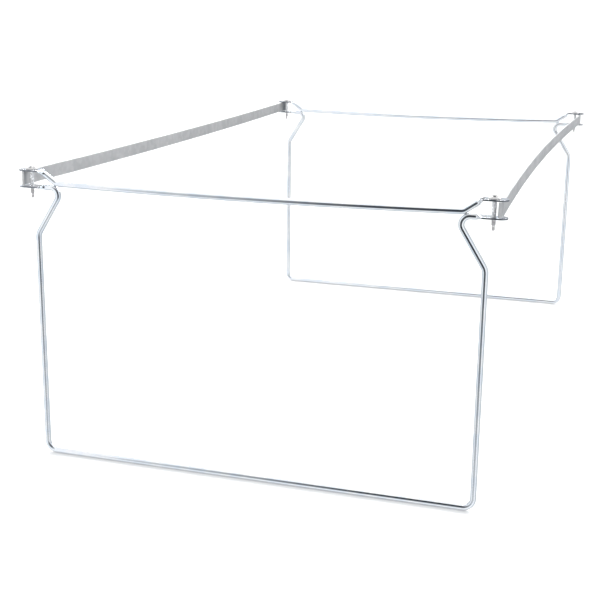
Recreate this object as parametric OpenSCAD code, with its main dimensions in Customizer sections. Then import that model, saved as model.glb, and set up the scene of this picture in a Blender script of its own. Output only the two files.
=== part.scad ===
// Hanging file rack for legal-size folders.
// Two bent-wire end frames stand on the table. Each is a leg frame with a crossbar above it,
// and both wires end in flattened tabs. A long screw runs down through the two tabs at each
// corner, and the ends of two strip rails hook round the screws between the tabs.
// The four screws are pivots, so the rack folds sideways as a parallelogram.
// +Y runs along the rails, +Z is up, and the origin is on the table below the rack's middle.

/* [Rack] */
// Distance across the rack between the corner screws
post_span = 378; // [300:1:420]
// Distance along the rack between the corner screws
post_depth = 660; // [400:5:720]
// Height of the middle of the lower tabs above the table
lower_tab_z = 232; // [200:0.2:250]

/* [Wire] */
// Diameter of the frame wire
wire_d = 4.8; // [4:0.1:5.4]
// Distance from the screws in to the upright legs
leg_inset = 4; // [2:0.5:8]
// Distance from the screws in to the innermost point of the hook bends
hook_inset = 23.4; // [22:0.2:28]
// Lean of the sloping leg tops from upright, in degrees
leg_lean = 32; // [26:1:38]
// Centreline radius of the bottom corner bends
corner_bend_r = 8; // [6:1:16]
// Centreline radius of the kink bends at the top of the upright legs
kink_bend_r = 10; // [8:1:16]
// Centreline radius of the hook bends
hook_bend_r = 6.5; // [5:0.5:7]
// Height of the top tabs above the straight part of the crossbar
crossbar_drop = 10; // [9:0.2:12]
// Slope of the crossbar's raised ends, in degrees
crossbar_slope = 35; // [33:1:42]
// Centreline radius of the crossbar's end bends
crossbar_bend_r = 6; // [5:0.5:7]
// Sag of the crossbar at its middle
crossbar_sag = 2; // [0.5:0.5:3]

/* [Tabs] */
// Width of the flattened wire ends
tab_w = 11.6; // [10:0.2:12]
// Thickness of the flattened wire ends
tab_t = 1.4; // [1.2:0.1:2]
// Length of the flat outboard of the screw
tab_out = 10.6; // [10:0.2:12]
// Length of the flat inboard of the screw
tab_in = 7.8; // [7.6:0.2:8.4]
// Length over which the round wire turns into the flat
taper_l = 5; // [4:0.5:6]

/* [Rails] */
// Height of the rail strip
rail_h = 11.4; // [10:0.1:16]
// Thickness of the rail strip
rail_t = 1; // [0.8:0.1:1.2]
// Inward bow of each rail at its middle
rail_bow = 7; // [4:1:14]
// Distance from a screw's axis out to the middle of the strip that passes it
rail_offset = 6.6; // [5.4:0.1:7]
// Bend radius of the rails' end hooks, to the middle of the strip
rail_hook_r = 3.2; // [2:0.1:4]
// Distance from a screw's axis on to the centre of the hook's bend, along the rack
rail_hook_run = 2.6; // [2:0.1:3.2]
// Angle that a hook's lip has turned through, in degrees
rail_hook_turn = 80; // [60:1:90]

/* [Screws] */
// Diameter of the screw shank
screw_d = 3.4; // [3.2:0.1:4]
// Diameter of the screw head
head_d = 9.8; // [9:0.1:10.8]
// Height of the screw head
head_h = 2.2; // [2:0.1:2.6]
// Length of the shank below the lower tab
shank_below = 4.2; // [3:0.2:7]
// Diameter of the plain pilot tip
tip_d = 2.2; // [1.8:0.1:2.6]
// Length of the plain pilot tip
tip_l = 4; // [3:0.2:6]

/* [Hidden] */
$fn = 64;

lap = 0.3;           // length by which each stretch of wire or rail runs on into the next bend
bend_step = 0.02;    // extra radius of a bend, so that the stretches end inside it
taper_sides = 24;    // sides of the taper between the round wire and a tab
taper_rings = 6;     // steps along that taper
taper_bury = 0.6;    // length by which a taper's ends are buried in the wire and in the tab
tab_squareness = 0.6; // how far a tab's section is from an ellipse, from 0 to 1
tab_gap = 0.3;       // free height between a rail's edge and the tab beside it
top_hole_slack = 0.2;    // radial slack of the screw in a top tab
tapped_hole_slack = 0.05; // radial slack of the screw in a lower tab, which is tapped on the rack
thread_lead = 0.6;   // height of the cone between the shank and the pilot tip
dome_r = 8.5;        // radius of the screw head's dome
recess_w = 1.4;      // width of the cross recess
recess_l = 5.6;      // length of the cross recess
recess_deep = 1.3;   // depth of the cross recess

post_x = post_span / 2;
post_y = post_depth / 2;
foot_z = wire_d / 2;
leg_x = post_x - leg_inset;
tab_root_x = post_x - tab_in;
rail_z = lower_tab_z + tab_t / 2 + tab_gap;
top_tab_z = rail_z + rail_h + tab_gap + tab_t / 2;
head_z = top_tab_z + tab_t / 2;

// Leg frame: from the tab inward, round the hook, down the slope, down the leg, along the table.
hook_x = post_x - hook_inset + hook_bend_r;
slope_top = [
    hook_x - hook_bend_r * cos(leg_lean),
    lower_tab_z - hook_bend_r * (1 + sin(leg_lean))
];
slope_run = leg_x - slope_top[0];
kink_z = slope_top[1] - slope_run / tan(leg_lean);
kink_tangent = kink_bend_r * tan(leg_lean / 2);
leg_wire_x = tab_root_x - taper_l;
leg_half = [
    [leg_wire_x - hook_x],
    [hook_bend_r, -90 - leg_lean],
    [slope_run / sin(leg_lean) - kink_tangent],
    [kink_bend_r, leg_lean],
    [kink_z - kink_tangent - foot_z - corner_bend_r],
    [corner_bend_r, 90]
];
foot_half = leg_x - corner_bend_r;

// Crossbar: down the slope from the tab, a bend, the long shallow sag, and back up.
bar_bend_x = tab_root_x - crossbar_drop / tan(crossbar_slope);
sag_turn = 2 * atan(crossbar_sag / bar_bend_x);
bar_turn = crossbar_slope - sag_turn;
bar_tangent = crossbar_bend_r * tan(bar_turn / 2);
sag_r = (bar_bend_x - bar_tangent * cos(sag_turn)) / sin(sag_turn);
bar_half = [
    [crossbar_drop / sin(crossbar_slope) - taper_l - bar_tangent],
    [crossbar_bend_r, bar_turn]
];
bar_wire_x = tab_root_x - taper_l * cos(crossbar_slope);
bar_wire_z = top_tab_z - taper_l * sin(crossbar_slope);
sag_centre_z = top_tab_z - crossbar_drop - bar_tangent * sin(sag_turn) + sag_r * cos(sag_turn);
sag_lap = lap / sag_r * 180 / PI;
sag_sides = 360 / (sag_turn + sag_lap);

// Rail: one long arc that bows inward past both screws and ends in a tangent hook bend beyond each.
rail_hook_x = post_x + rail_offset - rail_hook_r;
rail_hook_y = post_y + rail_hook_run;
bow_r = pow(post_y, 2) / (2 * rail_bow);
bow_turn = asin(rail_hook_y / (bow_r + rail_hook_r));
bow_x = rail_hook_x + (bow_r + rail_hook_r) * cos(bow_turn);
bow_lap = lap / bow_r * 180 / PI;
bow_sides = 4 * 360 / (bow_turn + bow_lap);

// A bend of the round wire in the XZ plane that starts at the origin and heads along +X.
module bend(r, turn) {
    translate([0, 0, r])
        rotate([90, 0, 0])
            rotate_extrude(start = -90, angle = turn)
                translate([r, 0])
                    circle(r = wire_d / 2 + bend_step);
}

// A wire bent in the XZ plane. It starts at the origin and heads along +X. Each step is either
// [length], a straight, or [radius, turn], a bend, where a positive turn is towards +Z.
module bent_wire(steps, i = 0) {
    if (i < len(steps)) {
        step = steps[i];
        if (len(step) == 1) {
            translate([-lap, 0, 0])
                rotate([0, 90, 0])
                    cylinder(d = wire_d, h = step[0] + 2 * lap);
            translate([step[0], 0, 0])
                bent_wire(steps, i + 1);
        } else {
            up = sign(step[1]);
            mirror([0, 0, up < 0 ? 1 : 0])
                bend(step[0], abs(step[1]));
            translate([step[0] * sin(abs(step[1])), 0, up * step[0] * (1 - cos(step[1]))])
                rotate([0, -step[1], 0])
                    bent_wire(steps, i + 1);
        }
    }
}

// How far the taper has turned from round wire to flat, from 0 to 1, at s along it.
function flatness(s) =
    let (u = min(max((s - lap) / (taper_l - lap), 0), 1)) u * u * (3 - 2 * u);

// One ring of the taper's section, at s along it, where the wire slopes up by slope degrees.
function taper_ring(s, slope) =
    let (
        flat = flatness(s),
        along = min(s - taper_l, 0),
        past = max(s - taper_l, 0),
        tilt = slope * (1 - flat),
        half_w = wire_d / 2 * (1 - flat) + tab_w / 2 * flat - bend_step,
        half_t = wire_d / 2 * (1 - flat) + tab_t / 2 * flat - bend_step,
        power = 1 - tab_squareness * flat
    )
    [
        for (i = [0 : taper_sides - 1])
            let (
                turn = 360 * (i + 0.5) / taper_sides,
                y = half_w * sign(cos(turn)) * pow(abs(cos(turn)), power),
                h = half_t * sign(sin(turn)) * pow(abs(sin(turn)), power)
            )
            [along * cos(slope) + past - h * sin(tilt), y, along * sin(slope) + h * cos(tilt)]
    ];

// The taper from the round wire up to a tab's root, which is at the origin.
module taper(slope) {
    places = concat(
        [-taper_bury, lap],
        [for (k = [1 : taper_rings]) lap + (taper_l - lap) * k / taper_rings],
        [taper_l + taper_bury]
    );
    last = len(places) - 1;
    n = taper_sides;
    polyhedron(
        points = [for (s = places) each taper_ring(s, slope)],
        faces = concat(
            [[for (i = [0 : n - 1]) i]],
            [[for (i = [n - 1 : -1 : 0]) last * n + i]],
            [
                for (k = [0 : last - 1], i = [0 : n - 1])
                    let (a = k * n + i, b = k * n + (i + 1) % n)
                    each [[a, a + n, b], [b, a + n, b + n]]
            ]
        )
    );
}

// One flattened wire end on the right-hand side, with a round hole for the screw.
module tab(tab_z, hole_d, slope) {
    translate([post_x, 0, tab_z - tab_t / 2])
        linear_extrude(tab_t)
            difference() {
                union() {
                    translate([-tab_in, -tab_w / 2])
                        square([tab_in + tab_out - tab_w / 2, tab_w]);
                    translate([tab_out - tab_w / 2, 0])
                        circle(d = tab_w);
                }
                circle(d = hole_d);
            }
    translate([tab_root_x, 0, tab_z])
        taper(slope);
}

module crossbar() {
    color("lightsteelblue") {
        for (side = [0, 1])
            mirror([side, 0, 0]) {
                tab(top_tab_z, screw_d + 2 * top_hole_slack, crossbar_slope);
                translate([bar_wire_x, 0, bar_wire_z])
                    mirror([1, 0, 0])
                        rotate([0, crossbar_slope, 0])
                            bent_wire(bar_half);
            }
        translate([0, 0, sag_centre_z])
            rotate([90, 0, 0])
                rotate_extrude(
                    start = -90 - sag_turn - sag_lap,
                    angle = 2 * (sag_turn + sag_lap),
                    $fn = sag_sides
                )
                    translate([sag_r, 0])
                        circle(d = wire_d);
    }
}

module leg_frame() {
    color("lightsteelblue") {
        for (side = [0, 1])
            mirror([side, 0, 0]) {
                tab(lower_tab_z, screw_d + 2 * tapped_hole_slack, 0);
                translate([leg_wire_x, 0, lower_tab_z])
                    mirror([1, 0, 0])
                        bent_wire(leg_half);
            }
        translate([-foot_half - lap, 0, foot_z])
            rotate([0, 90, 0])
                cylinder(d = wire_d, h = 2 * (foot_half + lap));
    }
}

module cross_recess() {
    for (turn = [0, 90])
        rotate([0, 0, turn])
            translate([-recess_l / 2, -recess_w / 2, head_h - recess_deep])
                cube([recess_l, recess_w, recess_deep + 1]);
}

// A screw with its head's underside on the top tab at z = 0, and its shank hanging down.
module corner_screw() {
    shank_l = head_z - lower_tab_z + tab_t / 2 + shank_below;
    color("gainsboro") {
        difference() {
            intersection() {
                cylinder(d = head_d, h = head_h);
                translate([0, 0, head_h - dome_r])
                    sphere(r = dome_r);
            }
            cross_recess();
        }
        translate([0, 0, -shank_l])
            cylinder(d = screw_d, h = shank_l);
        translate([0, 0, -shank_l - thread_lead])
            cylinder(d1 = tip_d, d2 = screw_d, h = thread_lead);
        translate([0, 0, -shank_l - thread_lead - tip_l])
            cylinder(d = tip_d, h = tip_l);
    }
}

module screw_at(x_side, y_side) {
    translate([x_side * post_x, y_side * post_y, head_z])
        corner_screw();
}

// The hooked end of the right-hand rail, behind the back right screw.
module rail_hook() {
    translate([rail_hook_x, rail_hook_y, rail_z])
        rotate_extrude(start = -bow_turn, angle = bow_turn + rail_hook_turn)
            translate([rail_hook_r - rail_t / 2 - bend_step, 0])
                square([rail_t + 2 * bend_step, rail_h]);
}

module right_rail() {
    color("darkgray") {
        translate([bow_x, 0, rail_z])
            rotate_extrude(
                start = 180 - bow_turn - bow_lap,
                angle = 2 * (bow_turn + bow_lap),
                $fn = bow_sides
            )
                translate([bow_r - rail_t / 2, 0])
                    square([rail_t, rail_h]);
        rail_hook();
        mirror([0, 1, 0])
            rail_hook();
    }
}

module left_rail() {
    mirror([1, 0, 0])
        right_rail();
}

translate([0, -post_y, 0]) crossbar();  // front_crossbar
translate([0, -post_y, 0]) leg_frame();  // front_leg_frame
screw_at(-1, -1);  // front_left_screw
screw_at(1, -1);  // front_right_screw
translate([0, post_y, 0]) crossbar();  // back_crossbar
translate([0, post_y, 0]) leg_frame();  // back_leg_frame
screw_at(-1, 1);  // back_left_screw
screw_at(1, 1);  // back_right_screw
left_rail();
right_rail();
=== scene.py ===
"""Hanging file rack: two bent-wire end frames, two hooked strip rails and four corner screws."""

import math

import bmesh
import bpy
from mathutils import Matrix, Vector


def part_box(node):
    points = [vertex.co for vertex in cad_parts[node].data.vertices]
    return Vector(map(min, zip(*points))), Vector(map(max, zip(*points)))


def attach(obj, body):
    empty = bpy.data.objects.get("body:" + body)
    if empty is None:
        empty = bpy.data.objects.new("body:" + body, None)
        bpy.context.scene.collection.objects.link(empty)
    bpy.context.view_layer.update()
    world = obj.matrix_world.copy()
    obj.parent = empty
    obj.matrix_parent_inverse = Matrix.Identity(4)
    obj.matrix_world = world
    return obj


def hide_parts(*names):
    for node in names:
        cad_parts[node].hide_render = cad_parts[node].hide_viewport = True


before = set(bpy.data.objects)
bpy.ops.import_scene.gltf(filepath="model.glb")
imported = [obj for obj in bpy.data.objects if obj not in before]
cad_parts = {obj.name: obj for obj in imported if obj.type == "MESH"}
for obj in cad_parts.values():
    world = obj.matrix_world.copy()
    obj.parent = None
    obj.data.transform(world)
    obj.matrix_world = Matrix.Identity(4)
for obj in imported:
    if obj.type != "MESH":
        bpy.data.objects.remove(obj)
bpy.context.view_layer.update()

# Sizes of the rack's stock and bends, in metres, as the CAD part has them.
WIRE_R = 0.0024
LEG_INSET = 0.004
HOOK_INSET = 0.0234
LEG_LEAN = math.radians(32)
CORNER_BEND_R = 0.008
KINK_BEND_R = 0.010
HOOK_BEND_R = 0.0065
CROSSBAR_DROP = 0.010
CROSSBAR_SLOPE = math.radians(35)
CROSSBAR_BEND_R = 0.006
CROSSBAR_SAG = 0.002
TAB_T = 0.0014
TAB_OUT = 0.0106
TAB_IN = 0.0078
TAPER_L = 0.005
TAB_GAP = 0.0003
TOP_HOLE_R = 0.0019
TAPPED_HOLE_R = 0.00175
RAIL_T = 0.001
RAIL_BOW = 0.007
RAIL_OFFSET = 0.0066
RAIL_HOOK_R = 0.0032
RAIL_HOOK_RUN = 0.0026
RAIL_HOOK_TURN = math.radians(80)
SCREW_R = 0.0017
HEAD_R = 0.0049
HEAD_H = 0.0022
DOME_R = 0.0085
TIP_R = 0.0011
TIP_L = 0.004
THREAD_LEAD = 0.0006

# The wire's own details here: a softened bend where a sloping wire meets its tab, and how square
# the section of a tab is, from 0 for an ellipse to 1 for a rectangle.
TAB_ROOT_BEND_R = 0.004
TAB_SQUARENESS = 0.85

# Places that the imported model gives.
RAIL_LOW, RAIL_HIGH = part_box("right_rail")
SCREW_LOW, SCREW_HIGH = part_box("back_right_screw")
POST_X = (SCREW_LOW[0] + SCREW_HIGH[0]) / 2
POST_Y = (SCREW_LOW[1] + SCREW_HIGH[1]) / 2
RAIL_Z = RAIL_LOW[2]
RAIL_H = RAIL_HIGH[2] - RAIL_LOW[2]
LOWER_TAB_Z = RAIL_Z - TAB_GAP - TAB_T / 2
TOP_TAB_Z = RAIL_HIGH[2] + TAB_GAP + TAB_T / 2
HEAD_Z = TOP_TAB_Z + TAB_T / 2
SCREW_BOTTOM = SCREW_LOW[2]
TAB_LOW, TAB_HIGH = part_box("back_leg_frame")
TAB_W = TAB_HIGH[1] - TAB_LOW[1]

# The camera: its lens and sensor in millimetres, where it stands and how it is turned.
CAMERA_LENS = 69.87
CAMERA_SENSOR = 36
CAMERA_PLACE = (0.3074, -1.1651, 0.3897)
CAMERA_AZIMUTH = math.radians(17.61)
CAMERA_ELEVATION = math.radians(14.89)
CAMERA_ROLL = math.radians(0.69)


def make_camera():
    """The camera stands in front of the rack, a little to the right and above it."""
    camera = bpy.data.objects.new("camera", bpy.data.cameras.new("camera"))
    bpy.context.scene.collection.objects.link(camera)
    camera.data.lens = CAMERA_LENS
    camera.data.sensor_width = CAMERA_SENSOR
    back = Vector((
        math.sin(CAMERA_AZIMUTH) * math.cos(CAMERA_ELEVATION),
        -math.cos(CAMERA_AZIMUTH) * math.cos(CAMERA_ELEVATION),
        math.sin(CAMERA_ELEVATION),
    ))
    level = Vector((0, 0, 1)).cross(back).normalized()
    upright = back.cross(level)
    right = level * math.cos(CAMERA_ROLL) + upright * math.sin(CAMERA_ROLL)
    up = upright * math.cos(CAMERA_ROLL) - level * math.sin(CAMERA_ROLL)
    turn = Matrix((right, up, back)).transposed().to_4x4()
    camera.matrix_world = Matrix.Translation(CAMERA_PLACE) @ turn
    bpy.context.scene.camera = camera


make_camera()


# Meshes ------------------------------------------------------------------------------------------

WELD_DISTANCE = 1e-7
BEND_STEP = math.radians(4)


def link_mesh(name, mesh, material, sharp_angle=35):
    """A new object in the scene with this mesh, smooth-shaded up to sharp_angle degrees."""
    made = bpy.data.objects.new(name, mesh)
    bpy.context.scene.collection.objects.link(made)
    mesh.materials.clear()
    mesh.materials.append(material)
    mesh.shade_smooth()
    mesh.set_sharp_from_angle(angle=math.radians(sharp_angle))
    return made


def skin(name, rings, runs):
    """A closed mesh through rings of points that all have the same count, with both ends capped.
    Its UV map says, in metres, how far along (runs) and how far round each point is."""
    count = len(rings[0])
    points = [point for ring in rings for point in ring]
    faces = []
    for k in range(len(rings) - 1):
        for i in range(count):
            j = (i + 1) % count
            faces.append((k * count + i, k * count + j, (k + 1) * count + j, (k + 1) * count + i))
    first = len(points)
    points.append(sum(rings[0], Vector()) / count)
    points.append(sum(rings[-1], Vector()) / count)
    last_ring = (len(rings) - 1) * count
    for i in range(count):
        j = (i + 1) % count
        faces.append((first, j, i))
        faces.append((first + 1, last_ring + i, last_ring + j))
    mesh = bpy.data.meshes.new(name)
    mesh.from_pydata(points, [], faces)
    around = []
    for ring in rings:
        steps = [(ring[(i + 1) % count] - ring[i]).length for i in range(count)]
        around.append([sum(steps[:i]) for i in range(count + 1)])
    layer = mesh.uv_layers.new(name="run").data
    corner = 0
    for k in range(len(rings) - 1):
        for i in range(count):
            for ring, step in ((k, i), (k, i + 1), (k + 1, i + 1), (k + 1, i)):
                layer[corner].uv = (runs[ring], around[ring][step])
                corner += 1
    for i in range(count):
        for ring, run in ((0, runs[0]), (-1, runs[-1])):
            for spot in range(3):
                layer[corner].uv = (run, around[ring][i])
                corner += 1
    tidy_normals(mesh)
    return mesh


def tidy_normals(mesh):
    """Welds doubled points and turns every face outward."""
    work = bmesh.new()
    work.from_mesh(mesh)
    bmesh.ops.remove_doubles(work, verts=work.verts, dist=WELD_DISTANCE)
    bmesh.ops.recalc_face_normals(work, faces=work.faces)
    work.to_mesh(mesh)
    work.free()


def lathe_mesh(name, profile, sides):
    """A closed mesh turned from a profile of (radius, height) pairs, off the axis at both ends."""
    rings = []
    for radius, height in profile:
        rings.append([
            Vector((radius * math.cos(a), radius * math.sin(a), height))
            for a in (2 * math.pi * i / sides for i in range(sides))
        ])
    runs = [0.0]
    for before, after in zip(profile, profile[1:]):
        runs.append(runs[-1] + math.dist(before, after))
    return skin(name, rings, runs)


def cut(mesh, cutter_meshes):
    """The mesh with the cutters' room taken out of it."""
    body = bpy.data.objects.new("cut_body", mesh)
    bpy.context.scene.collection.objects.link(body)
    cutters = []
    for cutter_mesh in cutter_meshes:
        cutter = bpy.data.objects.new("cutter", cutter_mesh)
        bpy.context.scene.collection.objects.link(cutter)
        step = body.modifiers.new("cut", "BOOLEAN")
        step.operation = "DIFFERENCE"
        step.solver = "EXACT"
        step.object = cutter
        cutters.append(cutter)
    bpy.context.view_layer.update()
    seen = body.evaluated_get(bpy.context.evaluated_depsgraph_get())
    result = bpy.data.meshes.new_from_object(seen)
    for spent in [body, *cutters]:
        bpy.data.objects.remove(spent)
    return result


def walk(start, heading, steps):
    """Stations along a bent line in a plane: (position, heading, distance), where a step is
    ("line", length, spacing) or ("bend", radius, turn), and a positive turn is to the left."""
    x, y = start
    run = 0.0
    stations = [((x, y), heading, run)]
    for kind, size, amount in steps:
        if kind == "line":
            pieces = max(1, round(size / amount))
            for i in range(pieces):
                x += size / pieces * math.cos(heading)
                y += size / pieces * math.sin(heading)
                run += size / pieces
                stations.append(((x, y), heading, run))
        else:
            pieces = max(2, math.ceil(abs(amount) / BEND_STEP))
            side = math.copysign(1, amount)
            centre_x = x - side * size * math.sin(heading)
            centre_y = y + side * size * math.cos(heading)
            for i in range(pieces):
                heading += amount / pieces
                run += size * abs(amount) / pieces
                x = centre_x + side * size * math.sin(heading)
                y = centre_y - side * size * math.cos(heading)
                stations.append(((x, y), heading, run))
    return stations


# Wires -------------------------------------------------------------------------------------------

# Numbers of sides and rings, and lengths in metres.
WIRE_SIDES = 40
HOLE_SIDES = 48
TAB_FINE = 0.0004      # spacing of the rings along a tab
WIRE_COARSE = 0.012    # spacing of the rings along a straight wire
TIP_RINGS = 9          # rings in a tab's half-round end
TIP_EDGE_SHARE = 0.55  # share of the tab's thickness that is left at its tip
RIM_SHARE = 0.975      # share of a tab's half width outside which a point is on its rim


def wire_section(run):
    """(half width, half thickness, roundness) of the wire at a distance from its tab's tip, where
    the roundness is the power of the section's curve: 1 for an ellipse and 0 for a rectangle."""
    tab_length = TAB_OUT + TAB_IN
    along = min(max((tab_length + TAPER_L - run) / TAPER_L, 0), 1)
    flat = along * along * (3 - 2 * along)
    half_w = WIRE_R + (TAB_W / 2 - WIRE_R) * flat
    half_t = WIRE_R + (TAB_T / 2 - WIRE_R) * flat
    if run < TAB_W / 2:
        half_w = math.sqrt(max((TAB_W / 2) ** 2 - (TAB_W / 2 - run) ** 2, 0))
    edge_r = TAB_T / 3
    if run < edge_r:
        half_t *= TIP_EDGE_SHARE + (1 - TIP_EDGE_SHARE) * math.sqrt(1 - (1 - run / edge_r) ** 2)
    return half_w, half_t, 1 - TAB_SQUARENESS * flat


def wire_ring(place, heading, run, y):
    """The wire's outline at one place of its centreline, which lies in a plane of constant y."""
    half_w, half_t, power = wire_section(run)
    ring = []
    for i in range(WIRE_SIDES):
        turn = 2 * math.pi * (i + 0.5) / WIRE_SIDES
        c = math.cos(turn)
        s = math.sin(turn)
        across = half_w * math.copysign(abs(c) ** power, c)
        thick = half_t * math.copysign(abs(s) ** power, s)
        ring.append(Vector((
            place[0] + thick * math.sin(heading),
            y + across,
            place[1] - thick * math.cos(heading),
        )))
    return ring


def wire_mesh(name, half, y, hole_z, hole_r):
    """A wire from its right tab to its left one, given the stations of its right half."""
    first_ring = 0.35
    tip_place, tip_heading, _ = half[0]
    stations = []
    for k in range(TIP_RINGS):
        back = TAB_W / 2 * (1 - math.cos(math.pi / 2 * (k + first_ring) / TIP_RINGS))
        place = (tip_place[0] + back * math.cos(tip_heading), tip_place[1])
        stations.append((place, tip_heading, back))
    stations += [station for station in half if station[2] > TAB_W / 2]
    total = half[-1][2]
    rings = [wire_ring(place, heading, run, y) for place, heading, run in stations]
    runs = [run for _, _, run in stations]
    for ring, run in list(zip(rings, runs))[-2::-1]:
        rings.append([Vector((-point.x, point.y, point.z)) for point in ring])
        runs.append(2 * total - run)
    mesh = skin(name, rings, runs)
    mesh = cut(mesh, [hole_cutter(side * POST_X, y, hole_z, hole_r) for side in (-1, 1)])
    mark_tab_edges(mesh, y, hole_z)
    return mesh


def mark_tab_edges(mesh, y, tab_z):
    """Marks with 1 the narrow side faces of the two flat tabs, whose rims get painted shade."""
    marks = mesh.attributes.new("painted_shade", "FLOAT", "POINT")
    disc_x = POST_X + TAB_OUT - TAB_W / 2
    for vertex, mark in zip(mesh.vertices, marks.data):
        out = abs(vertex.co.x) - disc_x
        across = abs(vertex.co.y - y)
        radius = math.hypot(max(out, 0), across)
        on_tab = abs(vertex.co.x) > POST_X - TAB_IN and abs(vertex.co.z - tab_z) < TAB_T
        mark.value = 1 if on_tab and radius > TAB_W / 2 * RIM_SHARE else 0


def hole_cutter(x, y, z, radius):
    """A round cutter with a small countersink at each face of a tab, past which it reaches."""
    half_t = TAB_T / 2
    lead = 0.00018
    reach = 0.0008
    profile = [
        (radius + lead + reach, -half_t - reach),
        (radius + lead, -half_t),
        (radius, -half_t + lead),
        (radius, half_t - lead),
        (radius + lead, half_t),
        (radius + lead + reach, half_t + reach),
    ]
    mesh = lathe_mesh("hole", profile, HOLE_SIDES)
    mesh.transform(Matrix.Translation((x, y, z)))
    return mesh


def leg_frame_half():
    """Stations of a leg frame's right half, from the tab's tip round the hook to the foot."""
    hook_x = POST_X - HOOK_INSET + HOOK_BEND_R
    leg_x = POST_X - LEG_INSET
    slope_top_x = hook_x - HOOK_BEND_R * math.cos(LEG_LEAN)
    slope_top_z = LOWER_TAB_Z - HOOK_BEND_R * (1 + math.sin(LEG_LEAN))
    slope_run = leg_x - slope_top_x
    kink_z = slope_top_z - slope_run / math.tan(LEG_LEAN)
    kink_tangent = KINK_BEND_R * math.tan(LEG_LEAN / 2)
    steps = [
        ("line", TAB_OUT + TAB_IN + TAPER_L, TAB_FINE),
        ("line", POST_X - TAB_IN - TAPER_L - hook_x, WIRE_COARSE),
        ("bend", HOOK_BEND_R, math.pi / 2 + LEG_LEAN),
        ("line", slope_run / math.sin(LEG_LEAN) - kink_tangent, WIRE_COARSE),
        ("bend", KINK_BEND_R, -LEG_LEAN),
        ("line", kink_z - kink_tangent - WIRE_R - CORNER_BEND_R, WIRE_COARSE),
        ("bend", CORNER_BEND_R, -math.pi / 2),
        ("line", leg_x - CORNER_BEND_R, WIRE_COARSE),
    ]
    return walk((POST_X + TAB_OUT, LOWER_TAB_Z), math.pi, steps)


def crossbar_half():
    """Stations of a crossbar's right half, from the tab's tip down its slope to the middle."""
    root_x = POST_X - TAB_IN
    root_tangent = TAB_ROOT_BEND_R * math.tan(CROSSBAR_SLOPE / 2)
    bend_x = root_x - CROSSBAR_DROP / math.tan(CROSSBAR_SLOPE)
    sag_turn = 2 * math.atan(CROSSBAR_SAG / bend_x)
    bend_turn = CROSSBAR_SLOPE - sag_turn
    bend_tangent = CROSSBAR_BEND_R * math.tan(bend_turn / 2)
    sag_r = (bend_x - bend_tangent * math.cos(sag_turn)) / math.sin(sag_turn)
    slope_l = CROSSBAR_DROP / math.sin(CROSSBAR_SLOPE) - root_tangent - bend_tangent
    sag_pieces = 16
    steps = [
        ("line", TAB_OUT + TAB_IN - root_tangent, TAB_FINE),
        ("bend", TAB_ROOT_BEND_R, CROSSBAR_SLOPE),
        ("line", slope_l, TAB_FINE * 2),
        ("bend", CROSSBAR_BEND_R, -bend_turn),
    ]
    steps += [("bend", sag_r, -sag_turn / sag_pieces)] * sag_pieces
    return walk((POST_X + TAB_OUT, TOP_TAB_Z), math.pi, steps)


# Rails -------------------------------------------------------------------------------------------

STRIP_EDGE_R = 0.0003
STRIP_END_R = 0.00025
BOW_PIECES = 60


def strip_outline():
    """The strip's section as (across, up) pairs: slit steel with its edges slightly rounded."""
    corner_steps = 4
    outline = []
    for k, (side, level) in enumerate(((1, -1), (1, 1), (-1, 1), (-1, -1))):
        centre_across = side * (RAIL_T / 2 - STRIP_EDGE_R)
        centre_up = RAIL_H / 2 + level * (RAIL_H / 2 - STRIP_EDGE_R)
        for i in range(corner_steps + 1):
            turn = math.pi / 2 * (k - 1 + i / corner_steps)
            across = centre_across + STRIP_EDGE_R * math.cos(turn)
            up = centre_up + STRIP_EDGE_R * math.sin(turn)
            outline.append((across, up))
    return outline


def strip_ring(outline, station, side, lead):
    """The strip's outline at one station of a rail. Where lead isn't 0, the ring lies that far
    beyond the station and is drawn in by as much on every side, which rounds the strip's end."""
    place, heading, _ = station
    inset = abs(lead)
    ring = []
    for across, up in outline:
        across *= 1 - 2 * inset / RAIL_T
        up = RAIL_H / 2 + (up - RAIL_H / 2) * (1 - 2 * inset / RAIL_H)
        x = place[0] + across * math.sin(heading) + lead * math.cos(heading)
        y = place[1] - across * math.cos(heading) + lead * math.sin(heading)
        ring.append(Vector((side * x, y, RAIL_Z + up)))
    return ring


def rail_mesh(name, side):
    """A rail on the right (side 1) or left (side -1): a long inward bow with a hook at each end."""
    bow_r = POST_Y ** 2 / (2 * RAIL_BOW)
    hook_x = POST_X + RAIL_OFFSET - RAIL_HOOK_R
    hook_y = POST_Y + RAIL_HOOK_RUN
    bow_turn = math.asin(hook_y / (bow_r + RAIL_HOOK_R))
    start = (
        hook_x + RAIL_HOOK_R * math.cos(RAIL_HOOK_TURN),
        -hook_y - RAIL_HOOK_R * math.sin(RAIL_HOOK_TURN),
    )
    hook = ("bend", RAIL_HOOK_R, RAIL_HOOK_TURN + bow_turn)
    bow = [("bend", bow_r, -2 * bow_turn / BOW_PIECES)] * BOW_PIECES
    stations = walk(start, math.pi / 2 - RAIL_HOOK_TURN, [hook, *bow, hook])
    outline = strip_outline()
    rings = [strip_ring(outline, stations[0], side, -STRIP_END_R)]
    rings += [strip_ring(outline, station, side, 0) for station in stations]
    rings.append(strip_ring(outline, stations[-1], side, STRIP_END_R))
    total = stations[-1][2]
    runs = [0, *(run for _, _, run in stations), total]
    mesh = skin(name, rings, runs)
    mark_hook_insides(mesh, side * hook_x, hook_y)
    return mesh


def mark_hook_insides(mesh, hook_x, hook_y):
    """Marks with 1 the hollow sides of the two end hooks, where shade is painted."""
    marks = mesh.attributes.new("painted_shade", "FLOAT", "POINT")
    for vertex, mark in zip(mesh.vertices, marks.data):
        along = abs(vertex.co.y)
        radius = math.hypot(vertex.co.x - hook_x, along - hook_y)
        mark.value = 1 if along > hook_y - RAIL_T and radius < RAIL_HOOK_R - RAIL_T / 4 else 0


# Screws ------------------------------------------------------------------------------------------

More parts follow.
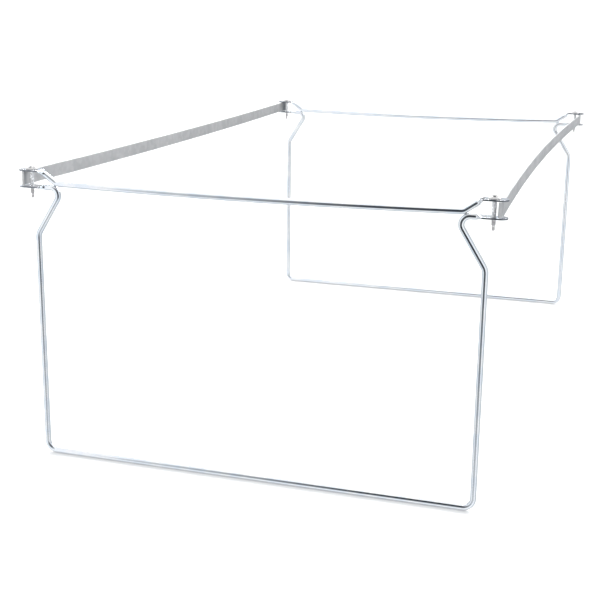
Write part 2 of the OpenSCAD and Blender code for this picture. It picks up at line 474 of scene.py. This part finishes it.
SCREW_SIDES = 40
DOME_STEPS = 14
SCREW_EDGE = 0.0002        # size of a screw's bevels and fillets
THREAD_PITCH = 0.0008
THREAD_DEPTH = 0.0003
THREAD_TOP = LOWER_TAB_Z + 0.0026  # above it the shank is a smooth shoulder
THREAD_CREST = 0.12        # half a crest's width, as a share of half the pitch
THREAD_FLANK = 0.72        # a flank's width, as a share of half the pitch
THREAD_FADE_TOP = 0.0009   # lengths over which the thread runs in and out
THREAD_FADE_BOTTOM = 0.0005
THREAD_STEPS_PER_TURN = 8
THREAD_PAINTED_SHADE = 0.3         # how much painted shade a groove gets, against 1 in the recess
RECESS_DEPTH = 0.0014
RECESS_HALF_L = 0.0032
RECESS_HALF_W = 0.00095
RECESS_FLOOR_HALF_L = 0.0012
RECESS_FLOOR_HALF_W = 0.0004


def dome_z(radius):
    """Height of the head's dome above the head's underside, at a distance from the axis."""
    return HEAD_H - DOME_R + math.sqrt(DOME_R ** 2 - radius ** 2)


def thread_radius(height, turn, shank_bottom):
    """Radius of the rolled thread at a height and an angle, fading out at both ends."""
    phase = (height / THREAD_PITCH + turn / (2 * math.pi)) % 1
    groove = 1 - abs(2 * phase - 1)
    groove = min(max((groove - THREAD_CREST) / THREAD_FLANK, 0), 1)
    fade_in = (THREAD_TOP - height) / THREAD_FADE_TOP
    fade_out = (height - shank_bottom) / THREAD_FADE_BOTTOM
    fade = min(1, fade_in, fade_out)
    return SCREW_R - THREAD_DEPTH * groove * max(fade, 0)


def head_profile():
    """(radius, height) pairs from the top of the head's dome over its rim to the shank."""
    rim_r = 0.00014
    profile = []
    for k in range(1, DOME_STEPS + 1):
        radius = (HEAD_R - rim_r) * math.sin(math.pi / 2 * k / DOME_STEPS)
        profile.append((radius, HEAD_Z + dome_z(radius)))
    rim_top = HEAD_Z + dome_z(HEAD_R)
    return profile + [
        (HEAD_R - rim_r * 0.3, rim_top + rim_r * 0.2),
        (HEAD_R, rim_top - rim_r * 0.4),
        (HEAD_R, HEAD_Z + rim_r),
        (HEAD_R - rim_r, HEAD_Z),
        (SCREW_R + SCREW_EDGE, HEAD_Z),
        (SCREW_R, HEAD_Z - SCREW_EDGE),
    ]


def tip_profile(tip_top):
    """(radius, height) pairs down the plain pilot tip and over its rounded end."""
    return [
        (TIP_R + SCREW_EDGE / 2, tip_top),
        (TIP_R, tip_top - SCREW_EDGE),
        (TIP_R, SCREW_BOTTOM + SCREW_EDGE * 2),
        (TIP_R - 0.0003, SCREW_BOTTOM + 0.00008),
        (TIP_R - 0.0005, SCREW_BOTTOM),
    ]


def screw_mesh(name, x, y):
    """A pan-head screw with a cross recess, a smooth shoulder, a rolled thread and a pilot tip."""
    tip_top = SCREW_BOTTOM + TIP_L
    shank_bottom = tip_top + THREAD_LEAD
    profile = head_profile()
    plain = len(profile)
    thread_steps = round((THREAD_TOP - shank_bottom) / (THREAD_PITCH / THREAD_STEPS_PER_TURN))
    for k in range(thread_steps + 1):
        profile.append((SCREW_R, THREAD_TOP + (shank_bottom - THREAD_TOP) * k / thread_steps))
    threaded = len(profile)
    profile += tip_profile(tip_top)
    rings = []
    runs = []
    for k, (radius, height) in enumerate(profile):
        ring = []
        for i in range(SCREW_SIDES):
            turn = 2 * math.pi * i / SCREW_SIDES
            if plain <= k < threaded:
                radius = thread_radius(height, turn, shank_bottom)
            ring.append(Vector((x + radius * math.cos(turn), y + radius * math.sin(turn), height)))
        rings.append(ring)
        runs.append(height)
    mesh = cut(skin(name, rings, runs), [recess_cutter(x, y)])
    mark_painted_recess_shade(mesh, x, y)
    return mesh


def recess_cutter(x, y):
    """A cross with tapered arms, wider and longer at the top of the head than at its floor."""
    clearance = 0.0004
    top_z = HEAD_Z + HEAD_H + clearance
    floor_z = HEAD_Z + HEAD_H - RECESS_DEPTH
    floor_cross = (RECESS_FLOOR_HALF_L, RECESS_FLOOR_HALF_W, floor_z)
    top_cross = (RECESS_HALF_L, RECESS_HALF_W, top_z)
    rings = []
    for half_l, half_w, z in (floor_cross, top_cross):
        quarter = [(half_l, -half_w), (half_l, half_w), (half_w, half_w)]
        ring = []
        for c, s in ((1, 0), (0, 1), (-1, 0), (0, -1)):
            for a, b in quarter:
                ring.append(Vector((x + a * c - b * s, y + a * s + b * c, z)))
        rings.append(ring)
    return skin("recess", rings, [0, top_z - floor_z])


def mark_painted_recess_shade(mesh, x, y):
    """Marks with 1 the points inside the cross recess, and less strongly the thread's grooves,
    where shade is painted.
    """
    marks = mesh.attributes.new("painted_shade", "FLOAT", "POINT")
    for vertex, mark in zip(mesh.vertices, marks.data):
        across = abs(vertex.co.x - x), abs(vertex.co.y - y)
        radius = math.hypot(*across)
        if vertex.co.z > HEAD_Z + HEAD_H / 4:
            mark.value = 1 if min(across) < RECESS_HALF_W and max(across) < RECESS_HALF_L else 0
        elif vertex.co.z > SCREW_BOTTOM + TIP_L:
            mark.value = THREAD_PAINTED_SHADE * min(max((SCREW_R - radius) / THREAD_DEPTH, 0), 1)


# Materials ---------------------------------------------------------------------------------------


def node(tree, kind, inputs=None, **settings):
    """A new shader node, with its settings and its inputs set or linked."""
    made = tree.nodes.new("ShaderNode" + kind)
    for key, value in settings.items():
        setattr(made, key, value)
    for key, value in (inputs or {}).items():
        socket = made.inputs[key]
        if isinstance(value, bpy.types.NodeSocket):
            tree.links.new(value, socket)
        else:
            socket.default_value = value
    return made


def new_material(name):
    """(material, its node tree, its Principled shader)."""
    material = bpy.data.materials.new(name)
    material.use_nodes = True
    tree = material.node_tree
    return material, tree, tree.nodes["Principled BSDF"]


def noise(tree, vector, scale, detail=3.0, stretch=None):
    """A noise value, stretched along the first axis where stretch is given."""
    if stretch:
        vector = node(tree, "Mapping", {"Vector": vector, "Scale": stretch}).outputs[0]
    made = node(tree, "TexNoise", {"Vector": vector, "Scale": scale, "Detail": detail})
    return made.outputs["Fac"]


def ramp(tree, value, low, high, to_low, to_high):
    """The value mapped smoothly from one range to another."""
    made = node(
        tree,
        "MapRange",
        {"Value": value, "From Min": low, "From Max": high, "To Min": to_low, "To Max": to_high},
        interpolation_type="SMOOTHSTEP",
    )
    return made.outputs["Result"]


def mix_colour(tree, amount, a, b):
    """Colour a where amount is 0 and colour b where it is 1."""
    made = node(tree, "Mix", data_type="RGBA")
    for index, value in ((0, amount), (6, a), (7, b)):
        if isinstance(value, bpy.types.NodeSocket):
            tree.links.new(value, made.inputs[index])
        else:
            made.inputs[index].default_value = value
    return made.outputs[2]


def maths(tree, operation, a, b):
    """One step of arithmetic on two values."""
    made = node(tree, "Math", operation=operation)
    for index, value in enumerate((a, b)):
        if isinstance(value, bpy.types.NodeSocket):
            tree.links.new(value, made.inputs[index])
        else:
            made.inputs[index].default_value = value
    return made.outputs[0]


def bump(tree, height, distance, strength=1.0, normal=None):
    """A normal that follows a height value, in metres of distance."""
    inputs = {"Height": height, "Distance": distance, "Strength": strength}
    if normal:
        inputs["Normal"] = normal
    return node(tree, "Bump", inputs).outputs["Normal"]


# The wires' plating.
ZINC_BLUE = (0.76, 0.80, 0.85, 1)
ZINC_PALE = (0.86, 0.87, 0.88, 1)
ZINC_DRAWN = (0.62, 0.66, 0.70, 1)
ZINC_SCUFFED = (0.55, 0.56, 0.57, 1)
# Painted shade: the dark tone that the tabs' rims are painted, standing in for their shade and dark
# reflection.
ZINC_PAINTED_RIM_SHADE = (0.20, 0.215, 0.235, 1)

# The rails' galvanised strip.
STRIP_DARK = (0.44, 0.443, 0.447, 1)
STRIP_PALE = (0.51, 0.51, 0.51, 1)
STRIP_SPANGLE = (0.60, 0.60, 0.60, 1)
STRIP_ROLLED = (0.29, 0.295, 0.31, 1)
STRIP_WORN = (0.74, 0.75, 0.76, 1)
# Painted shade: the dark tone painted inside the rails' end hooks.
STRIP_PAINTED_SHADE = (0.27, 0.285, 0.30, 1)
STRIP_TINT = (0.7, 0.7, 0.7, 1)

# The screws.
SCREW_DULL = (0.80, 0.81, 0.82, 1)
SCREW_BRIGHT = (0.90, 0.90, 0.90, 1)
SCREW_HEAD = (0.50, 0.49, 0.48, 1)
SCREW_TIP = (0.42, 0.40, 0.39, 1)
# Painted shade: the near-black tone painted in the cross recess and, more faintly, in the thread's
# grooves.
SCREW_PAINTED_SHADE = (0.012, 0.012, 0.012, 1)

# How far the bumps stand out, in metres.
DRAWN_BUMP = 0.000012
ROLLED_BUMP = 0.000015
SPANGLE_BUMP = 0.00002
SPECK_BUMP = 0.000010


def object_place(tree):
    """(the place on the object, its height)."""
    place = node(tree, "TexCoord").outputs["Object"]
    return place, node(tree, "SeparateXYZ", {"Vector": place}).outputs["Z"]


def painted_shade_mark(tree):
    """The painted-shade marks that the meshes carry, from 0 to 1."""
    return node(tree, "Attribute", attribute_name="painted_shade").outputs["Fac"]


def finish_surface(tree, shader, colour, roughness, normal):
    """Links the surface's colour, roughness and normal to its shader."""
    tree.links.new(colour, shader.inputs["Base Color"])
    tree.links.new(roughness, shader.inputs["Roughness"])
    tree.links.new(normal, shader.inputs["Normal"])


def plated_wire_material():
    """Bright zinc over drawn wire: fine lines along it, cloudy plating, scuffs under the feet and
    painted shade on the tabs' rims."""
    material, tree, shader = new_material("plated_wire")
    run = node(tree, "UVMap", uv_map="run").outputs["UV"]
    place, height = object_place(tree)
    lines = noise(tree, run, scale=1.0, detail=4.0, stretch=(25, 2600, 1))
    clouds = noise(tree, place, scale=60)
    specks = noise(tree, place, scale=900, detail=2.0)
    scuff_height = ramp(tree, height, 0.0002, 0.0012, 1, 0)
    scuff = maths(tree, "MULTIPLY", scuff_height, ramp(tree, specks, 0.4, 0.6, 0.3, 1))
    # Painted shade: the tabs' rims, marked on the mesh, are painted dark for their shade and dark
    # reflection.
    painted_rim_shade = maths(tree, "MULTIPLY", painted_shade_mark(tree), ramp(tree, specks, 0.3, 0.6, 0.85, 1))
    colour = mix_colour(tree, ramp(tree, clouds, 0.35, 0.65, 0, 1), ZINC_BLUE, ZINC_PALE)
    colour = mix_colour(tree, ramp(tree, lines, 0.55, 0.8, 0, 0.35), colour, ZINC_DRAWN)
    colour = mix_colour(tree, scuff, colour, ZINC_SCUFFED)
    colour = mix_colour(tree, painted_rim_shade, colour, ZINC_PAINTED_RIM_SHADE)
    roughness = ramp(tree, clouds, 0.3, 0.7, 0.10, 0.17)
    roughness = maths(tree, "ADD", roughness, ramp(tree, lines, 0.5, 0.8, 0, 0.08))
    roughness = maths(tree, "ADD", roughness, maths(tree, "MULTIPLY", scuff, 0.3))
    roughness = maths(tree, "ADD", roughness, maths(tree, "MULTIPLY", painted_rim_shade, 0.25))
    normal = bump(tree, lines, DRAWN_BUMP)
    normal = bump(tree, specks, SPECK_BUMP, normal=normal)
    finish_surface(tree, shader, colour, roughness, normal)
    shader.inputs["Metallic"].default_value = 1
    return material


def worn_edges(tree, height, warp):
    """1 on the worn low and top edges of a strip that stands at the rails' height."""
    inner = 0.0006
    outer = 0.0001
    rail_top = RAIL_Z + RAIL_H
    low_edge = ramp(tree, height, RAIL_Z + outer, RAIL_Z + inner, 1, 0)
    top_edge = ramp(tree, height, rail_top - inner, rail_top - outer, 0, 1)
    edge = maths(tree, "MAXIMUM", low_edge, top_edge)
    return maths(tree, "MULTIPLY", edge, ramp(tree, warp, 0.3, 0.6, 0.4, 1))


def rail_steel_material():
    """Matte galvanised strip: grey spangle, rolling lines along it, worn edges and painted shade
    inside the hooks.
    """
    material, tree, shader = new_material("rail_steel")
    run = node(tree, "UVMap", uv_map="run").outputs["UV"]
    place, height = object_place(tree)
    warp = noise(tree, place, scale=350, detail=2.0)
    voronoi = node(tree, "TexVoronoi", {"Vector": place, "Scale": 230}, feature="SMOOTH_F1")
    cells = voronoi.outputs["Color"]
    spangle = node(tree, "SeparateColor", {"Color": cells}).outputs[0]
    lines = noise(tree, run, scale=1.0, detail=4.0, stretch=(18, 3000, 1))
    clouds = noise(tree, place, scale=28)
    worn = worn_edges(tree, height, warp)
    # Painted shade: the hollow insides of the hooks are painted dark where shade falls.
    painted_shade_amount = maths(tree, "MULTIPLY", painted_shade_mark(tree), ramp(tree, warp, 0.3, 0.6, 0.8, 1))
    colour = mix_colour(tree, ramp(tree, clouds, 0.3, 0.7, 0, 1), STRIP_DARK, STRIP_PALE)
    colour = mix_colour(tree, ramp(tree, spangle, 0.2, 0.8, 0, 0.30), colour, STRIP_SPANGLE)
    colour = mix_colour(tree, ramp(tree, lines, 0.6, 0.8, 0, 0.35), colour, STRIP_ROLLED)
    colour = mix_colour(tree, maths(tree, "MULTIPLY", worn, 0.7), colour, STRIP_WORN)
    colour = mix_colour(tree, painted_shade_amount, colour, STRIP_PAINTED_SHADE)
    roughness = ramp(tree, spangle, 0.2, 0.8, 0.52, 0.42)
    roughness = maths(tree, "ADD", roughness, ramp(tree, warp, 0.3, 0.7, 0, 0.06))
    roughness = maths(tree, "SUBTRACT", roughness, maths(tree, "MULTIPLY", worn, 0.12))
    normal = bump(tree, lines, ROLLED_BUMP)
    normal = bump(tree, warp, SPANGLE_BUMP, normal=normal)
    finish_surface(tree, shader, colour, roughness, normal)
    shader.inputs["Metallic"].default_value = 0.5
    shader.inputs["Specular Tint"].default_value = STRIP_TINT
    return material


def screw_steel_material():
    """Zinc-plated screw: cloudy plating, a darker head and tip, and painted shade in the low
    places.
    """
    material, tree, shader = new_material("screw_steel")
    place, height = object_place(tree)
    clouds = noise(tree, place, scale=420)
    specks = noise(tree, place, scale=2600, detail=2.0)
    head = ramp(tree, height, HEAD_Z - 0.0001, HEAD_Z + 0.0001, 0, 0.75)
    tip = ramp(tree, height, LOWER_TAB_Z - 0.003, LOWER_TAB_Z - 0.001, 0.7, 0)
    # Painted shade: the recess and the thread's grooves are painted dark and made less metallic.
    painted_shade_amount = maths(tree, "MULTIPLY", painted_shade_mark(tree), ramp(tree, specks, 0.2, 0.6, 0.85, 1))
    colour = mix_colour(tree, ramp(tree, clouds, 0.3, 0.7, 0, 1), SCREW_DULL, SCREW_BRIGHT)
    colour = mix_colour(tree, head, colour, SCREW_HEAD)
    colour = mix_colour(tree, tip, colour, SCREW_TIP)
    colour = mix_colour(tree, painted_shade_amount, colour, SCREW_PAINTED_SHADE)
    roughness = ramp(tree, clouds, 0.3, 0.7, 0.2, 0.3)
    roughness = maths(tree, "ADD", roughness, maths(tree, "MULTIPLY", painted_shade_amount, 0.3))
    finish_surface(tree, shader, colour, roughness, bump(tree, specks, SPECK_BUMP))
    tree.links.new(ramp(tree, painted_shade_amount, 0, 1, 0.45, 0), shader.inputs["Metallic"])
    shader.inputs["Specular IOR Level"].default_value = 0.2
    return material


# Pieces ------------------------------------------------------------------------------------------


def put(name, mesh, material, cad_node, body):
    """A finished piece that stands for a CAD node and rides on its body."""
    piece = link_mesh(name, mesh, material)
    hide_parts(cad_node)
    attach(piece, body)


def build_rack():
    wire = plated_wire_material()
    rail = rail_steel_material()
    screw = screw_steel_material()
    for end, y in (("front", -POST_Y), ("back", POST_Y)):
        body = end + "_end"
        legs = wire_mesh(end + "_legs", leg_frame_half(), y, LOWER_TAB_Z, TAPPED_HOLE_R)
        put(end + "_leg_wire", legs, wire, end + "_leg_frame", body)
        bar = wire_mesh(end + "_bar", crossbar_half(), y, TOP_TAB_Z, TOP_HOLE_R)
        put(end + "_crossbar_wire", bar, wire, end + "_crossbar", body)
        for hand, x in (("left", -POST_X), ("right", POST_X)):
            cad_node = end + "_" + hand + "_screw"
            mesh = screw_mesh(cad_node + "_turned", x, y)
            put(cad_node + "_detailed", mesh, screw, cad_node, body)
    for hand, side in (("left", -1), ("right", 1)):
        mesh = rail_mesh(hand + "_strip", side)
        put(hand + "_rail_strip", mesh, rail, hand + "_rail", hand + "_rail")


# Stage -------------------------------------------------------------------------------------------

FLOOR_HALF = 6.0
FLOOR_COLOUR = (0.93, 0.93, 0.93, 1)
FLOOR_ROUGHNESS = 0.5

# Light that comes from the cards and from each part of the studio, where 1 is white.
CARD_PALE = (0.62, 0.66, 0.70, 1)
CARD_DARK = (0.045, 0.051, 0.061, 1)
SIDE_WALLS = (0.70, 0.73, 0.77, 1)
FRONT_WALL = (1.10, 1.12, 1.15, 1)
BACKDROP_LIT = (1.25, 1.25, 1.25, 1)
BACKDROP_IN_METAL = (0.66, 0.69, 0.73, 1)
CEILING = (1.25, 1.25, 1.25, 1)
STRIP_LIGHT = (13, 13, 13, 1)
BACKDROP_SEEN = (1.2, 1.2, 1.2, 1)


def make_floor():
    """A wide pale floor, level with the rack's feet."""
    mesh = bpy.data.meshes.new("floor")
    signs = [(-1, -1), (1, -1), (1, 1), (-1, 1)]
    corners = [(x * FLOOR_HALF, y * FLOOR_HALF, 0) for x, y in signs]
    mesh.from_pydata(corners, [], [(0, 1, 2, 3)])
    material, _, shader = new_material("floor")
    shader.inputs["Base Color"].default_value = FLOOR_COLOUR
    shader.inputs["Roughness"].default_value = FLOOR_ROUGHNESS
    floor = link_mesh("floor", mesh, material)
    floor.visible_glossy = False


def make_dark_card(name, y, left, right, low, high, fade_side, fade_up):
    """A dark card, seen only in reflections, that outlines the bright wires. It fades to pale grey
    over fade_side from its left edge and over fade_up from its lower edge."""
    mesh = bpy.data.meshes.new(name)
    corners = [(left, y, low), (right, y, low), (right, y, high), (left, y, high)]
    mesh.from_pydata(corners, [], [(0, 1, 2, 3)])
    material = bpy.data.materials.new(name)
    material.use_nodes = True
    tree = material.node_tree
    tree.nodes.remove(tree.nodes["Principled BSDF"])
    place = node(tree, "TexCoord").outputs["Object"]
    parts = node(tree, "SeparateXYZ", {"Vector": place})
    rightward = ramp(tree, parts.outputs["X"], left, left + fade_side, 0, 1)
    upward = ramp(tree, parts.outputs["Z"], low, low + fade_up, 0, 1)
    tone = maths(tree, "MULTIPLY", upward, rightward)
    colour = mix_colour(tree, tone, CARD_PALE, CARD_DARK)
    glow = node(tree, "Emission", {"Color": colour}).outputs[0]
    tree.links.new(glow, tree.nodes["Material Output"].inputs["Surface"])
    card = link_mesh(name, mesh, material)
    card.visible_camera = False
    card.visible_diffuse = False
    card.visible_shadow = False
    card.visible_transmission = False


def window(tree, value, start, end, soft):
    """1 where value is between start and end and 0 outside, with soft edges."""
    rise = ramp(tree, value, start - soft, start + soft, 0, 1)
    fall = ramp(tree, value, end - soft, end + soft, 1, 0)
    return maths(tree, "MULTIPLY", rise, fall)


def make_light():
    """Soft studio light all round: pale walls, a white backdrop behind the rack, a bright ceiling
    and a narrow strip light high on the backdrop. The backdrop looks greyer in reflections."""
    scene = bpy.context.scene
    world = bpy.data.worlds.new("studio")
    scene.world = world
    world.use_nodes = True
    tree = world.node_tree
    direction = node(tree, "TexCoord").outputs["Generated"]
    _, y, z = node(tree, "SeparateXYZ", {"Vector": direction}).outputs
    rays = node(tree, "LightPath").outputs
    front = ramp(tree, y, -0.5, -0.1, 1, 0)
    back = ramp(tree, y, 0.2, 0.6, 0, 1)
    top = ramp(tree, z, 0.75, 0.9, 0, 1)
    strip_reach = ramp(tree, y, 0.45, 0.60, 0, 1)
    strip_height = window(tree, z, 0.43, 0.55, 0.015)
    strip = maths(tree, "MULTIPLY", strip_reach, strip_height)
    backdrop = mix_colour(tree, rays["Is Glossy Ray"], BACKDROP_LIT, BACKDROP_IN_METAL)
    colour = mix_colour(tree, front, SIDE_WALLS, FRONT_WALL)
    colour = mix_colour(tree, back, colour, backdrop)
    colour = mix_colour(tree, top, colour, CEILING)
    colour = mix_colour(tree, strip, colour, STRIP_LIGHT)
    colour = mix_colour(tree, rays["Is Camera Ray"], colour, BACKDROP_SEEN)
    tree.links.new(colour, tree.nodes["Background"].inputs["Color"])
    scene.view_settings.view_transform = "Standard"


build_rack()
make_floor()
make_dark_card(
    "front_card",
    y=-0.80,
    left=-0.35,
    right=0.45,
    low=-0.26,
    high=0.84,
    fade_side=0.36,
    fade_up=0.40,
)
make_dark_card(
    "back_card",
    y=1.20,
    left=-0.35,
    right=0.35,
    low=-0.20,
    high=0.42,
    fade_side=0.10,
    fade_up=0.10,
)
make_light()
